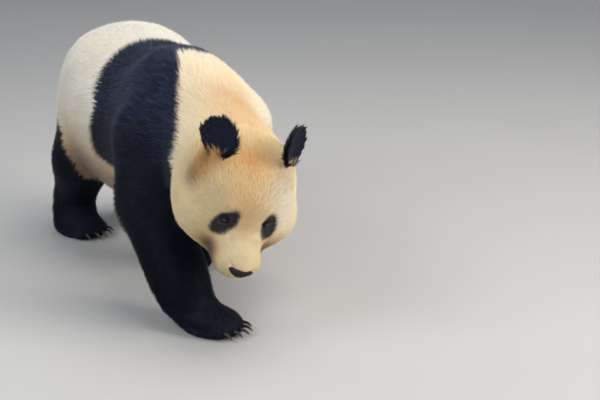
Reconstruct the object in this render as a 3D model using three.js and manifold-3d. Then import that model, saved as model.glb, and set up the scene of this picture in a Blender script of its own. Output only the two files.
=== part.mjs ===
// A giant panda, life size, walking with its head lowered: a still model in millimetres.
// +Z is up, the panda walks towards -Y, and its left side is at +X. The floor is z = 0.
// The outer surface of each solid is the outline of the coat, out to the tips of the hair.
// The body is one distance field blended from named forms, and thin flat cuts part it.
import * as THREE from "three";
import { mergeVertices } from "three/addons/utils/BufferGeometryUtils.js";
import Module from "manifold-3d";

const wasm = await Module();
wasm.setup();

// ---------------------------------------------------------------- driving dimensions
const GAP = 0.4; // clearance between neighbouring solids
const SHOULDER_HEIGHT = 680;
const RUMP_HEIGHT = 662;
const BELLY_CLEARANCE = 168; // from the floor to the hair under the belly

// Forms of the trunk: the middle of each and its half width, half length and half height.
const RUMP = { at: [0, 368, RUMP_HEIGHT - 212], size: [206, 212, 212] };
const HIP = { at: [84, 374, RUMP_HEIGHT - 180], size: [118, 155, 130] };
const LOIN = { at: [0, 215, 412], size: [236, 240, 238] };
const BELLY = { at: [0, 70, BELLY_CLEARANCE + 236], size: [236, 280, 236] };
const CHEST = { at: [0, -180, 442], size: [206, 240, 230] };
const WITHERS = { at: [0, -190, SHOULDER_HEIGHT - 140], size: [120, 200, 140] };
const NECK = { from: [0, -300, 482], to: [0, -520, 448], radii: [165, 150] };
const TAIL = { from: [0, 556, 500], to: [0, 596, 400], radii: [40, 36] };
const TORSO_BLEND = 70;
const TAIL_BLEND = 30;
const LEG_BLEND = 60;
const JOINT_BLEND = 50;
const HEAD_BLEND = 60;

// The head turns about its middle: nose down, crown towards the left, face to the right.
const HEAD = { at: [4, -642, 391], pitch: 42, roll: 15, yaw: -13.5 };

// Forms of the head in its own frame: the muzzle points to -Y and the crown to +Z.
const CRANIUM = { at: [0, 28, 18], size: [132, 138, 124] };
const CHEEK = { at: [85, -15, -38], size: [84, 96, 80] };
const JOWL = { at: [44, -70, -72], size: [56, 62, 46] };
const TEMPLE = { at: [70, 26, 50], size: [62, 94, 80] };
const BROW = { at: [0, -60, 36], size: [80, 46, 50] };
const MUZZLE = { from: [0, -70, -20], to: [0, -155, -47], radii: [70, 51] };
const WHISKER_PAD = { at: [27, -163, -63], size: [35, 34, 30] };
const CHIN = { at: [0, -122, -88], size: [42, 60, 28] };
const FACE_BLEND = 40;

const EAR = { at: [104, 53, 159], size: [60, 20, 56], hollow: 1.2, back: 25, turn: 56, lean: 10 };
const EYE = { across: 55, height: 29, radius: 11, depth: 12 };
const SOCKET = { size: [18, 20, 15], slant: 18, out: 3, forward: 15, up: 4 };
const NOSE = { at: [0, -199, -47], size: [27, 15, 16] };
const NOSE_WING = { at: [15, -200, -45], size: [15, 13, 12] }; // beside each nostril
const NOSE_BLEND = 9;

// Flat cuts that part the body: a point on each, and the way to the part that it parts off.
const TAIL_CUT = [[0, 584, 450], [0, 1, 0.12]];
const BAND_CUT = [[0, 0, 500], [0, -0.93, 0.37]];
const NECK_CUT = [[0, -335, 660], [0, -0.79, 0.61]];
const HEAD_CUT = [[0, 70, 0], [0, -0.926, 0.378]]; // in the head's frame
const MOUTH_CUTS = [[[0, -120, -86], [0, 0.1, -1]], [[0, -58, -100], [0, -1, 0]]];

// Each leg is a chain of joints from the body to the paw, with the leg's radius at each.
const LEGS = {
  foreleg_right: {
    joints: [[-136, -295, 470], [-146, -345, 300], [-111, -495, 105]],
    radii: [98, 91, 89],
    paw: { name: "forepaw_right", at: [-58, -588, 30], turn: 42, size: [74, 96, 48] },
    cuts: [[[-60, -340, 240], [-0.8, 0, -0.6]], [[-150, -205, 300], [0, -1, 0]]],
  },
  foreleg_left: {
    joints: [[130, -295, 470], [146, -225, 300], [80, -95, 105]],
    radii: [92, 86, 74],
    paw: { name: "forepaw_left", at: [54, -40, 30], turn: -20, size: [70, 94, 46] },
    cuts: [[[60, -340, 240], [0.8, 0, -0.6]], [[150, -80, 255], [0, -0.852, -0.524]]],
  },
  hindleg_right: {
    joints: [[-114, 375, 375], [-164, 345, 250], [-184, 420, 100]],
    radii: [118, 92, 72],
    paw: { name: "hindpaw_right", at: [-184, 352, 30], turn: 34, size: [72, 100, 46] },
    cuts: [[[-150, 350, 295], [-0.662, 0, -0.748]], [[-150, 215, 300], [0, 1, 0]]],
  },
  hindleg_left: {
    joints: [[116, 350, 375], [165, 215, 260], [160, 270, 100]],
    radii: [118, 90, 70],
    paw: { name: "hindpaw_left", at: [152, 205, 30], turn: -14, size: [70, 104, 46] },
    cuts: [[[150, 300, 295], [0.662, 0, -0.748]], [[150, 118, 260], [0, 0.99, -0.12]]],
  },
};
const PAW_HEIGHT = 84;
const TOE = { size: [17, 28, 21], spread: 27, forward: 68, fall: 5.5, height: -8 };
const CLAW = { radius: 5, height: 1.3, length: 26, drop: 8, sides: 5, sunk: 6, low: 2 };
const CLAW_RINGS = [0, 0.45, 0.8]; // how far along the claw each ring lies
const FIVE = [-2, -1, 0, 1, 2]; // the toes of a paw, from one side to the other

// How finely each form is faceted: the grid's step, or the segments round and from pole to pole.
const STEP = { trunk: 66, neck: 54, head: 32, leg: 47, paw: 35, tail: 32, nose: 9 };
const SEGMENTS = { eye: [9, 7], hollow: [12, 8], ear: [14, 9], toe: [7, 5] };

// The box of the grid that each form is made in, in that form's own frame.
const BOUNDS = [[-400, -900, -60], [400, 740, 800]];
const TAIL_BOX = [[-80, 500, 320], [80, 680, 560]];
const HEAD_BOX = [[-200, -230, -160], [200, 180, 180]];
const NOSE_BOX = [[-34, -233, -81], [34, -165, -13]];
const PAW_BOX = [[-110, -130, -70], [110, 150, 110]];

// ---------------------------------------------------------------- distance fields
const vec = (a) => new THREE.Vector3(...a);
const radians = THREE.MathUtils.degToRad;

// Distance to an ellipsoid, close to true near its surface.
function ellipsoid({ at, size }) {
  const [a, b, c] = size;
  return (p) => {
    const x = p.x - at[0];
    const y = p.y - at[1];
    const z = p.z - at[2];
    const near = Math.hypot(x / a, y / b, z / c);
    const slope = Math.hypot(x / (a * a), y / (b * b), z / (c * c));
    return slope < 1e-9 ? -Math.min(a, b, c) : (near * (near - 1)) / slope;
  };
}

// Distance to a round limb that tapers from one joint to the next.
function limb(from, to, radii) {
  const a = vec(from);
  const ab = vec(to).sub(a);
  const q = new THREE.Vector3();
  return (p) => {
    q.copy(p).sub(a);
    const t = THREE.MathUtils.clamp(q.dot(ab) / ab.lengthSq(), 0, 1);
    return q.addScaledVector(ab, -t).length() - THREE.MathUtils.lerp(...radii, t);
  };
}

// Union of two distances with a fillet about k wide.
function smooth(a, b, k) {
  const h = Math.max(k - Math.abs(a - b), 0) / k;
  return Math.min(a, b) - (h * h * k) / 4;
}

function blend(k, ...fields) {
  return (p) => fields.reduce((d, f) => smooth(d, f(p), k), 1e4);
}

// The same field, read in the frame that the matrix gives.
function seenFrom(matrix, field) {
  const q = new THREE.Vector3();
  return (p) => field(q.copy(p).applyMatrix4(matrix));
}

const flip = ([x, y, z]) => [-x, y, z];
const pair = (form) => [ellipsoid(form), ellipsoid({ ...form, at: flip(form.at) })];

function frameOf({ at, pitch = 0, roll = 0, turn = 0, yaw = turn }) {
  const euler = new THREE.Euler(radians(pitch), radians(roll), radians(yaw), "ZXY");
  return new THREE.Matrix4().makeRotationFromEuler(euler).setPosition(...at);
}

// ---------------------------------------------------------------- the panda's forms
const headFrame = frameOf(HEAD);
const face = blend(
  FACE_BLEND,
  ellipsoid(CRANIUM),
  ...pair(CHEEK),
  ...pair(JOWL),
  ...pair(TEMPLE),
  ellipsoid(BROW),
  limb(MUZZLE.from, MUZZLE.to, MUZZLE.radii),
  ...pair(WHISKER_PAD),
  ellipsoid(CHIN),
);
const head = seenFrom(headFrame.clone().invert(), face);

const tail = limb(TAIL.from, TAIL.to, TAIL.radii);
const torso = blend(
  TORSO_BLEND,
  ellipsoid(RUMP),
  ...pair(HIP),
  ellipsoid(LOIN),
  ellipsoid(BELLY),
  ellipsoid(CHEST),
  ellipsoid(WITHERS),
  limb(NECK.from, NECK.to, NECK.radii),
);

const body = (p) => smooth(smooth(torso(p), tail(p), TAIL_BLEND), head(p), HEAD_BLEND);

const legForms = Object.values(LEGS).map(({ joints, radii, paw }) =>
  blend(
    JOINT_BLEND,
    limb(joints[0], joints[1], radii.slice(0, 2)),
    limb(joints[1], joints[2], radii.slice(1, 3)),
    seenFrom(frameOf(paw).invert(), ellipsoid({ at: [0, 0, 0], size: paw.size })),
  ),
);

function whole(p) {
  const d = body(p);
  return Math.min(...legForms.map((leg) => smooth(d, leg(p), LEG_BLEND)));
}

// ---------------------------------------------------------------- surfaces from fields
// Surface nets: one vertex in each grid cell that the surface crosses, moved onto the surface.
function isosurface(field, [low, high], step) {
  const n = low.map((l, k) => Math.ceil((high[k] - l) / step) + 1);
  const at = (i, j, k) => [low[0] + i * step, low[1] + j * step, low[2] + k * step];
  const index = (i, j, k) => (k * n[1] + j) * n[0] + i;
  const values = new Float64Array(n[0] * n[1] * n[2]);
  const p = new THREE.Vector3();
  for (let k = 0; k < n[2]; k++)
    for (let j = 0; j < n[1]; j++)
      for (let i = 0; i < n[0]; i++) {
        const rim = !i || !j || !k || i === n[0] - 1 || j === n[1] - 1 || k === n[2] - 1;
        const d = field(p.set(...at(i, j, k)));
        values[index(i, j, k)] = rim ? Math.max(d, 1e-3) : d || 1e-6;
      }
  const points = [];
  const cell = new Int32Array(values.length).fill(-1);
  for (let k = 0; k < n[2] - 1; k++)
    for (let j = 0; j < n[1] - 1; j++)
      for (let i = 0; i < n[0] - 1; i++) {
        const sum = new THREE.Vector3();
        let crossings = 0;
        for (let corner = 0; corner < 8; corner++)
          for (let axis = 0; axis < 3; axis++) {
            if (corner & (1 << axis)) continue;
            const c = [corner & 1, (corner >> 1) & 1, (corner >> 2) & 1];
            const e = c.map((v, m) => (m === axis ? 1 : v));
            const a = values[index(i + c[0], j + c[1], k + c[2])];
            const b = values[index(i + e[0], j + e[1], k + e[2])];
            if (a < 0 === b < 0) continue;
            const from = at(i + c[0], j + c[1], k + c[2]);
            from[axis] += (step * a) / (a - b);
            sum.add(p.set(...from));
            crossings++;
          }
        if (!crossings) continue;
        cell[index(i, j, k)] = points.length;
        points.push(ontoSurface(field, sum.divideScalar(crossings), step / 3));
      }
  const triangles = [];
  function quad(a, b, c, d) {
    const flat = points[a].distanceTo(points[c]) < points[b].distanceTo(points[d]);
    if (flat) triangles.push(a, b, c, a, c, d);
    else triangles.push(a, b, d, b, c, d);
  }
  const around = [
    [[0, -1, -1], [0, 0, -1], [0, 0, 0], [0, -1, 0]],
    [[-1, 0, -1], [-1, 0, 0], [0, 0, 0], [0, 0, -1]],
    [[-1, -1, 0], [0, -1, 0], [0, 0, 0], [-1, 0, 0]],
  ];
  for (let k = 0; k < n[2] - 1; k++)
    for (let j = 0; j < n[1] - 1; j++)
      for (let i = 0; i < n[0] - 1; i++) {
        const here = values[index(i, j, k)] < 0;
        const next = [index(i + 1, j, k), index(i, j + 1, k), index(i, j, k + 1)];
        for (let axis = 0; axis < 3; axis++) {
          if (here === values[next[axis]] < 0) continue;
          const ring = around[axis].map(([a, b, c]) => cell[index(i + a, j + b, k + c)]);
          if (here) quad(...ring);
          else quad(...ring.reverse());
        }
      }
  return solid(points.flatMap((q) => q.toArray()), triangles);
}

// Moves a point onto the zero of the field, by at most reach.
function ontoSurface(field, point, reach) {
  const start = point.clone();
  const probe = new THREE.Vector3();
  const slope = new THREE.Vector3();
  const delta = 0.5;
  for (let turn = 0; turn < 3; turn++) {
    const d = field(point);
    for (const axis of ["x", "y", "z"]) {
      probe.copy(point)[axis] += delta;
      slope[axis] = (field(probe) - d) / delta;
    }
    point.addScaledVector(slope, -d / Math.max(slope.lengthSq(), 0.2));
  }
  const moved = point.clone().sub(start);
  if (moved.length() > reach) point.copy(start).add(moved.setLength(reach));
  return point;
}

// ---------------------------------------------------------------- solids and cuts
function solid(positions, triangles) {
  return new wasm.Manifold(
    new wasm.Mesh({
      numProp: 3,
      vertProperties: new Float32Array(positions),
      triVerts: new Uint32Array(triangles),
    }),
  );
}

// A closed three.js geometry as a solid.
function solidOf(geometry) {
  geometry.deleteAttribute("normal");
  geometry.deleteAttribute("uv");
  const merged = mergeVertices(geometry, 1e-3);
  return solid(merged.attributes.position.array, merged.index.array);
}

function geometryOf(part) {
  const { numProp, vertProperties, triVerts } = part.getMesh();
  const positions = new Float32Array((vertProperties.length / numProp) * 3);
  for (let i = 0; i < positions.length / 3; i++)
    positions.set(vertProperties.subarray(i * numProp, i * numProp + 3), i * 3);
  const geometry = new THREE.BufferGeometry();
  geometry.setAttribute("position", new THREE.BufferAttribute(positions, 3));
  geometry.setIndex(new THREE.BufferAttribute(triVerts, 1));
  geometry.computeVertexNormals();
  return geometry;
}

// The same solid, a little larger all round, which cuts its socket in what holds it.
function swollen(part) {
  const geometry = geometryOf(part);
  const { position, normal } = geometry.attributes;
  for (let i = 0; i < position.array.length; i++) position.array[i] += normal.array[i] * GAP;
  return solidOf(geometry);
}

// What is left of a solid beyond every cut, clear of each by the margin.
function beyond(part, cuts, margin = GAP / 2) {
  return cuts.reduce((left, [point, normal]) => {
    const n = vec(normal).normalize();
    return left.trimByPlane(n.toArray(), n.dot(vec(point)) + margin);
  }, part);
}

const SIZE = BOUNDS[0].map((low, k) => BOUNDS[1][k] - low);
const block = solidOf(new THREE.BoxGeometry(...SIZE.map((s) => 2 * s)));
const without = (part, cuts) => part.subtract(beyond(block, cuts, -GAP / 2));
const turned = ([point, normal]) => [point, normal.map((v) => -v)];
const largest = (part) => part.decompose().sort((a, b) => b.volume() - a.volume())[0];
const FLOOR = [[0, 0, -GAP / 2], [0, 0, 1]];

// A cut of a moved frame, as the world sees it.
function inWorld([point, normal], frame) {
  const n = vec(normal).transformDirection(frame);
  return [vec(point).applyMatrix4(frame).toArray(), n.toArray()];
}

// ---------------------------------------------------------------- the scene graph
const panda = new THREE.Group();

const coat = (color) => new THREE.MeshStandardMaterial({ color, roughness: 0.85 });
const WHITE_COAT = coat(0xd9ccb2);
const BLACK_COAT = coat(0x1b1c24);
const WET_BLACK = new THREE.MeshStandardMaterial({ color: 0x0b0a0c, roughness: 0.25 });
const HORN = new THREE.MeshStandardMaterial({ color: 0x6f665c, roughness: 0.5 });

function add(group, name, part, material) {
  const mesh = new THREE.Mesh(geometryOf(largest(part)), material);
  mesh.name = name;
  group.add(mesh);
}

// ---- trunk, shoulders, neck and tail
const legCuts = Object.values(LEGS).map((leg) => leg.cuts);
const coarse = legCuts.reduce(without, isosurface(whole, BOUNDS, STEP.trunk));
const headCut = inWorld(HEAD_CUT, headFrame);
const neck = isosurface(body, BOUNDS, STEP.neck);
add(panda, "trunk", beyond(coarse, [turned(BAND_CUT), turned(TAIL_CUT), FLOOR]), WHITE_COAT);
add(panda, "shoulders", beyond(coarse, [BAND_CUT, turned(NECK_CUT), turned(headCut)]), BLACK_COAT);
add(panda, "neck", beyond(neck, [NECK_CUT, turned(headCut)]), WHITE_COAT);
add(panda, "tail", beyond(isosurface(body, TAIL_BOX, STEP.tail), [TAIL_CUT]), WHITE_COAT);

// ---- head
const headGroup = new THREE.Group();
headFrame.decompose(headGroup.position, headGroup.quaternion, headGroup.scale);
panda.add(headGroup);

// The eyes sit behind the surface of the face, each in a hollow that opens forwards.
function eyeCentre(side) {
  const p = new THREE.Vector3(side * EYE.across, 0, EYE.height);
  while (face(p) < -EYE.depth) p.y -= 0.5;
  return p.toArray();
}

const eyes = [-1, 1].map((side) =>
  solidOf(new THREE.SphereGeometry(EYE.radius, ...SEGMENTS.eye).translate(...eyeCentre(side))),
);
const hollows = [-1, 1].map((side) => {
  const [x, y, z] = eyeCentre(side);
  const hollow = new THREE.SphereGeometry(1, ...SEGMENTS.hollow).scale(...SOCKET.size);
  hollow.rotateZ(radians(side * SOCKET.slant));
  return solidOf(hollow.translate(x + side * SOCKET.out, y - SOCKET.forward, z + SOCKET.up));
});

// An ear is a cupped oval: its hollow faces forwards and a little out.
function ear(side) {
  const geometry = new THREE.SphereGeometry(1, ...SEGMENTS.ear);
  const { position } = geometry.attributes;
  for (let i = 0; i < position.count; i++) {
    const y = position.getY(i);
    const fromRim = 1 - Math.hypot(position.getX(i), position.getZ(i)) ** 2;
    if (y < 0) position.setY(i, y + EAR.hollow * fromRim);
  }
  const at = [side * EAR.at[0], EAR.at[1], EAR.at[2]];
  const frame = frameOf({ at, pitch: -EAR.back, roll: side * EAR.lean, yaw: side * EAR.turn });
  return solidOf(geometry.scale(...EAR.size).applyMatrix4(frame));
}
const ears = [-1, 1].map(ear);

const noseForm = blend(NOSE_BLEND, ellipsoid(NOSE), ...pair(NOSE_WING));
const nose = isosurface(noseForm, NOSE_BOX, STEP.nose);

const inlaid = [...eyes, ...ears, nose].map(swollen);
const skull = [...inlaid, ...hollows].reduce(
  (left, piece) => left.subtract(piece),
  beyond(isosurface(seenFrom(headFrame, body), HEAD_BOX, STEP.head), [HEAD_CUT]),
);
add(headGroup, "head", without(skull, MOUTH_CUTS), WHITE_COAT);
add(headGroup, "jaw", beyond(skull, MOUTH_CUTS), WHITE_COAT);
add(headGroup, "nose", nose, WET_BLACK);
["right", "left"].forEach((side, i) => {
  add(headGroup, "eye_" + side, eyes[i], WET_BLACK);
  add(headGroup, "ear_" + side, ears[i], BLACK_COAT);
});

// ---- legs, paws and claws
// A claw is a curved cone that points forwards and down, built ring by ring.
function claw(at) {
  const { sides } = CLAW;
  const positions = [];
  for (const t of CLAW_RINGS) {
    const radius = CLAW.radius * (1 - t * t);
    for (let s = 0; s < sides; s++) {
      const angle = (2 * Math.PI * s) / sides;
      positions.push(
        at[0] + radius * Math.cos(angle),
        at[1] - CLAW.length * t,
        at[2] + CLAW.height * radius * Math.sin(angle) - CLAW.drop * t * t,
      );
    }
  }
  const tip = positions.length / 3;
  positions.push(at[0], at[1] - CLAW.length, at[2] - CLAW.drop, ...at);
  const triangles = [];
  for (let s = 0; s < sides; s++) {
    const t = (s + 1) % sides;
    for (let r = 0; r < CLAW_RINGS.length - 1; r++) {
      const [a, b] = [r * sides, (r + 1) * sides];
      triangles.push(a + s, a + t, b + t, a + s, b + t, b + s);
    }
    const last = (CLAW_RINGS.length - 1) * sides;
    triangles.push(last + s, last + t, tip, t, s, tip + 1);
  }
  return solid(positions, triangles);
}

function toeCentre(i) {
  return [i * TOE.spread, -TOE.forward + TOE.fall * i * i, TOE.height];
}

function addLeg(name, { paw, cuts }, form) {
  const field = (p) => smooth(body(p), form(p), LEG_BLEND);
  const ankle = [[0, 0, PAW_HEIGHT], [0, 0, 1]];
  const leg = isosurface(field, BOUNDS, STEP.leg);
  add(panda, name, beyond(leg, [...cuts, ankle]), BLACK_COAT);

  const frame = frameOf(paw);
  const group = new THREE.Group();
  frame.decompose(group.position, group.quaternion, group.scale);
  panda.add(group);
  const foot = isosurface(seenFrom(frame, field), PAW_BOX, STEP.paw);
  const height = paw.at[2];
  const toe = new THREE.SphereGeometry(1, ...SEGMENTS.toe).scale(...TOE.size);
  const toes = FIVE.map((i) => solidOf(toe.clone().translate(...toeCentre(i))));
  const claws = FIVE.map((i) => {
    const [x, y, z] = toeCentre(i);
    return claw([x, y - TOE.size[1] + CLAW.sunk, z - CLAW.low]);
  });
  const solePlane = [[0, 0, -height - GAP / 2], [0, 0, 1]];
  const anklePlane = [[0, 0, PAW_HEIGHT - height], [0, 0, -1]];
  const padded = toes.reduce((left, toe) => left.add(toe), foot);
  const bare = claws.reduce((left, piece) => left.subtract(swollen(piece)), padded);
  add(group, paw.name, beyond(bare, [solePlane, anklePlane]), BLACK_COAT);
  claws.forEach((piece, i) => add(group, paw.name.replace("paw", "claw") + (i + 1), piece, HORN));
}
Object.entries(LEGS).forEach(([name, leg], i) => addLeg(name, leg, legForms[i]));

// The origin is the middle of the panda's bounding box, at floor level.
const bounds = new THREE.Box3().setFromObject(panda, true);
const middle = bounds.getCenter(new THREE.Vector3());
panda.position.set(-middle.x, -middle.y, -bounds.min.z);

export default panda;
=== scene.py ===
"""A giant panda, life size and still, walking with its head lowered.

The frame's solids give the outline, out to the tips of the coat. One skin is made inside them, and
the eyes, lids, nose, lips, claws and the tufts of the coat are built on that skin.
"""
import math

import bmesh
import bpy
import numpy as np
from bpy.props import FloatProperty, FloatVectorProperty, IntProperty, PointerProperty
from mathutils import Euler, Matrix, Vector
from mathutils.bvhtree import BVHTree
from mathutils.kdtree import KDTree


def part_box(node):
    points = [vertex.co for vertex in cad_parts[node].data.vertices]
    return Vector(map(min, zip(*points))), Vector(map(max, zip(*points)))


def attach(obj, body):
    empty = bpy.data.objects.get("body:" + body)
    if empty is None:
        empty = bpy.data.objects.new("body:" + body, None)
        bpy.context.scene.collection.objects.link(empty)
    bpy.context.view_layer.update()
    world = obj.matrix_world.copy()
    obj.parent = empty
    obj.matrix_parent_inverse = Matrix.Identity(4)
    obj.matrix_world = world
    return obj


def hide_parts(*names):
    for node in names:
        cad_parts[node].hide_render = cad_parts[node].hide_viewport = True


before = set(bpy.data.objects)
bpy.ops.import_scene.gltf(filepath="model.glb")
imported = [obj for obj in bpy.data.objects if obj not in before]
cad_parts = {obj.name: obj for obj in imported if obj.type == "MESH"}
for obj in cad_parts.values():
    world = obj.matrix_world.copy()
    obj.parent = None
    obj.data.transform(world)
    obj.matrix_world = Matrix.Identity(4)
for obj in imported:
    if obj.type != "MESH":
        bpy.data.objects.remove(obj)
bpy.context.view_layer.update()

bl_info = {
    "name": "Giant Panda",
    "version": (1, 0, 0),
    "blender": (4, 5, 0),
    "location": "3D View > Sidebar > Panda",
    "description": "Dresses the panda's solids with skin, coat, eyes, nose and claws",
    "category": "Object",
}

SIDES = ("right", "left")
FACE = ("head", "jaw", "nose")
UP = np.array([0.0, 0.0, 1.0])


def unit(vectors):
    vectors = np.asarray(vectors, float)
    return vectors / np.maximum(np.linalg.norm(vectors, axis=-1, keepdims=True), 1e-12)


def centre(node):
    low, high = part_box(node)
    return np.array((low + high) / 2)


def smooth_step(low, high, x):
    t = np.clip((x - low) / (high - low), 0, 1)
    return t * t * (3 - 2 * t)


def smaller(a, b, radius):
    """The smaller of two distances, with the corner between them rounded."""
    near = np.maximum(radius - np.abs(a - b), 0)
    return np.minimum(a, b) - near**2 / (4 * radius)


def bump_at(points, place, width):
    """1 at a place, and 0 a few widths away from it."""
    return np.exp(-(np.linalg.norm(points - np.asarray(place), axis=1) ** 2) / width**2)


# ---------------------------------------------------------------- places, read from the frame
EYE = {side: centre("eye_" + side) for side in SIDES}
EAR = {side: centre("ear_" + side) for side in SIDES}
NOSE = centre("nose")
NOSE_PAD = np.array([0.002, -0.2020, -0.0535])  # the middle of the nose pad, in the head's frame
NOSE_HALF = np.array([0.0370, 0.0130, 0.0185])  # half its width, depth and height
NOSE_TILT = math.radians(14)  # how far the pad faces down
NOSE_LEAN = math.radians(13)  # how far its left end hangs below its right one
PAWS = ("forepaw_right", "forepaw_left", "hindpaw_right", "hindpaw_left")

# The head's own frame: x to the panda's left, y to the back of the head, z to the crown.
# The nose is at NOSE_IN_HEAD there, and the ears' midpoint rises behind it at EAR_SLOPE.
NOSE_IN_HEAD = np.array([0.0, -0.199, -0.047])
EAR_SLOPE = math.atan2(0.206, 0.252)


def head_axes():
    across = unit(EYE["left"] - EYE["right"])
    rise = (EAR["left"] + EAR["right"]) / 2 - NOSE
    rise = unit(rise - across * (rise @ across))
    over = np.cross(across, rise)
    back = math.cos(EAR_SLOPE) * rise - math.sin(EAR_SLOPE) * over
    return np.array([across, back, np.cross(across, back)])


PAD_AXES = np.array(Euler((NOSE_TILT, NOSE_LEAN, 0)).to_matrix()).T


def from_pad(points):
    """From the head's frame to the nose pad's own, which faces -Y."""
    return (points - NOSE_PAD) @ PAD_AXES.T


HEAD_AXES = head_axes()
HEAD_ORIGIN = NOSE - NOSE_IN_HEAD @ HEAD_AXES


def to_head(points):
    return (points - HEAD_ORIGIN) @ HEAD_AXES.T


def from_head(points):
    return np.asarray(points, float) @ HEAD_AXES + HEAD_ORIGIN


def mirrored(head):
    """Points in the head's frame, with its right side laid on its left one."""
    return np.abs(head) * (1, 0, 0) + head * (0, 1, 1)


# The body's own frame: its midline, and a cross plane this far ahead of the tail's end.
TAIL_TO_MIDDLE = 0.632
BODY_ORIGIN = np.array([centre("tail")[0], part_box("tail")[1].y - TAIL_TO_MIDDLE, 0.0])


def body_space(points):
    return points - BODY_ORIGIN


# Soft spots on the coat or the skin are rows of strength, middle, radius and the stretch of space,
# under the name of the space that they lie in. A stretch under 1 draws a spot out that way.
ROUND, WIDE, DEEP = (1, 1, 1), (0.85, 1, 1), (1, 0.6, 1)


def spots(points, table):
    """The sum of a table's spots at each point."""
    head = to_head(points)
    spaces = {"head": head, "both sides": mirrored(head), "body": body_space(points)}
    return sum(strength * bump_at(spaces[space] * stretch, place, radius)
               for space, rows in table.items() for strength, place, radius, stretch in rows)


# ---------------------------------------------------------------- settings
def length_setting(name, description, value):
    return FloatProperty(name=name, description=description, default=value, unit="LENGTH")


def angle_setting(name, description, degrees):
    return FloatProperty(
        name=name, description=description, default=math.radians(degrees), subtype="ANGLE"
    )


def colour_setting(name, description, value):
    return FloatVectorProperty(
        name=name, description=description, default=value, subtype="COLOR", min=0, max=1
    )


class PandaCoat(bpy.types.PropertyGroup):
    tufts: IntProperty(
        name="Tufts", description="How many tufts the whole coat has", default=345000, min=1000
    )
    length: length_setting("Length", "Length of the tufts on the flank", 0.034)
    width: length_setting("Width", "Width of the tufts on the flank at the root", 0.0021)
    clumping: FloatProperty(
        name="Clumping", description="How far the tips of neighbouring tufts draw together",
        default=0.45, min=0, max=1, subtype="FACTOR",
    )
    white: colour_setting("White", "Colour of the pale coat on the body", (0.87, 0.84, 0.75))
    cream: colour_setting(
        "Cream", "Colour of the pale coat on the neck and head", (0.83, 0.675, 0.405)
    )
    stain: colour_setting(
        "Stain", "Tan colour where the pale coat is stained", (0.57, 0.262, 0.062)
    )
    black: colour_setting("Black", "Colour of the black coat", (0.0025, 0.0036, 0.0092))


class PandaSkin(bpy.types.PropertyGroup):
    voxel: length_setting("Grid", "Size of the skin's quads", 0.006)
    smoothing: IntProperty(
        name="Smoothing", description="Rounds of smoothing over the body", default=24, min=0
    )


class PandaFace(bpy.types.PropertyGroup):
    eye_radius: length_setting("Eye radius", "Radius of the eyeball", 0.0115)
    lid: length_setting("Lid", "Thickness of the eyelid", 0.0022)


class PandaStage(bpy.types.PropertyGroup):
    azimuth: angle_setting("Azimuth", "Where the camera stands round the panda", -21)
    elevation: angle_setting("Elevation", "How far the camera looks down", 17)
    distance: length_setting("Distance", "From the camera to the point that it looks at", 4.2)
    lens: FloatProperty(name="Lens", description="Focal length", default=98.4, unit="CAMERA")


# ---------------------------------------------------------------- meshes and their vertices
def rows_of(collection, label, kind=np.float32):
    """Three numbers from each element of a mesh."""
    found = np.empty(len(collection) * 3, kind)
    collection.foreach_get(label, found)
    return found.reshape(-1, 3)


def vertices_of(mesh):
    return rows_of(mesh.vertices, "co").astype(float)


def normals_of(mesh):
    return rows_of(mesh.vertex_normals, "vector").astype(float)


def triangles_of(mesh):
    mesh.calc_loop_triangles()
    return rows_of(mesh.loop_triangles, "vertices", np.int32)


def mesh_from(name, vertices, triangles):
    """A mesh of triangles, from arrays."""
    mesh = bpy.data.meshes.new(name)
    mesh.vertices.add(len(vertices))
    mesh.vertices.foreach_set("co", np.asarray(vertices, np.float32).ravel())
    mesh.loops.add(triangles.size)
    mesh.loops.foreach_set("vertex_index", np.asarray(triangles, np.int32).ravel())
    mesh.polygons.add(len(triangles))
    mesh.polygons.foreach_set("loop_start", np.arange(0, triangles.size, 3, dtype=np.int32))
    mesh.update(calc_edges=True)
    mesh.polygons.foreach_set("use_smooth", np.ones(len(triangles), bool))
    return mesh


def set_attribute(mesh, name, values):
    attribute = mesh.attributes.new(name, "FLOAT", "POINT")
    attribute.data.foreach_set("value", np.asarray(values, np.float32).ravel())


def piece(name, mesh, material, replaced):
    """Puts a piece of the panda in the scene: it rides on the one body and stands for its nodes."""
    made = bpy.data.objects.new(name, mesh)
    bpy.context.scene.collection.objects.link(made)
    made.data.materials.clear()
    made.data.materials.append(material)
    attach(made, "root")
    if replaced:
        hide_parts(*replaced)
    return made


class Net:
    """The edges of a mesh, over which values at its vertices are spread."""

    def __init__(self, mesh):
        self.count = len(mesh.vertices)
        edges = np.empty(len(mesh.edges) * 2, np.int32)
        mesh.edges.foreach_get("vertices", edges)
        self.a, self.b = edges.reshape(-1, 2).T
        self.degree = np.bincount(edges, minlength=self.count)[:, None]

    def mean(self, values):
        """The mean of each vertex's neighbours."""
        columns = [
            np.bincount(self.a, values[self.b, k], self.count)
            + np.bincount(self.b, values[self.a, k], self.count)
            for k in range(values.shape[1])
        ]
        return np.stack(columns, 1) / self.degree

    def spread(self, values, rounds, share=0.5):
        flat = values.ndim == 1
        values = values.reshape(self.count, -1)
        share = np.reshape(share, (-1, 1))
        for _ in range(rounds):
            values = values + share * (self.mean(values) - values)
        return values.ravel() if flat else values

    def largest(self):
        """True at the vertices of the largest connected piece."""
        label = np.arange(self.count)
        while True:
            low = np.minimum(label[self.a], label[self.b])
            new = label.copy()
            np.minimum.at(new, self.a, low)
            np.minimum.at(new, self.b, low)
            new = new[new]
            if (new == label).all():
                break
            label = new
        names, counts = np.unique(label, return_counts=True)
        return label == names[counts.argmax()]


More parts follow.
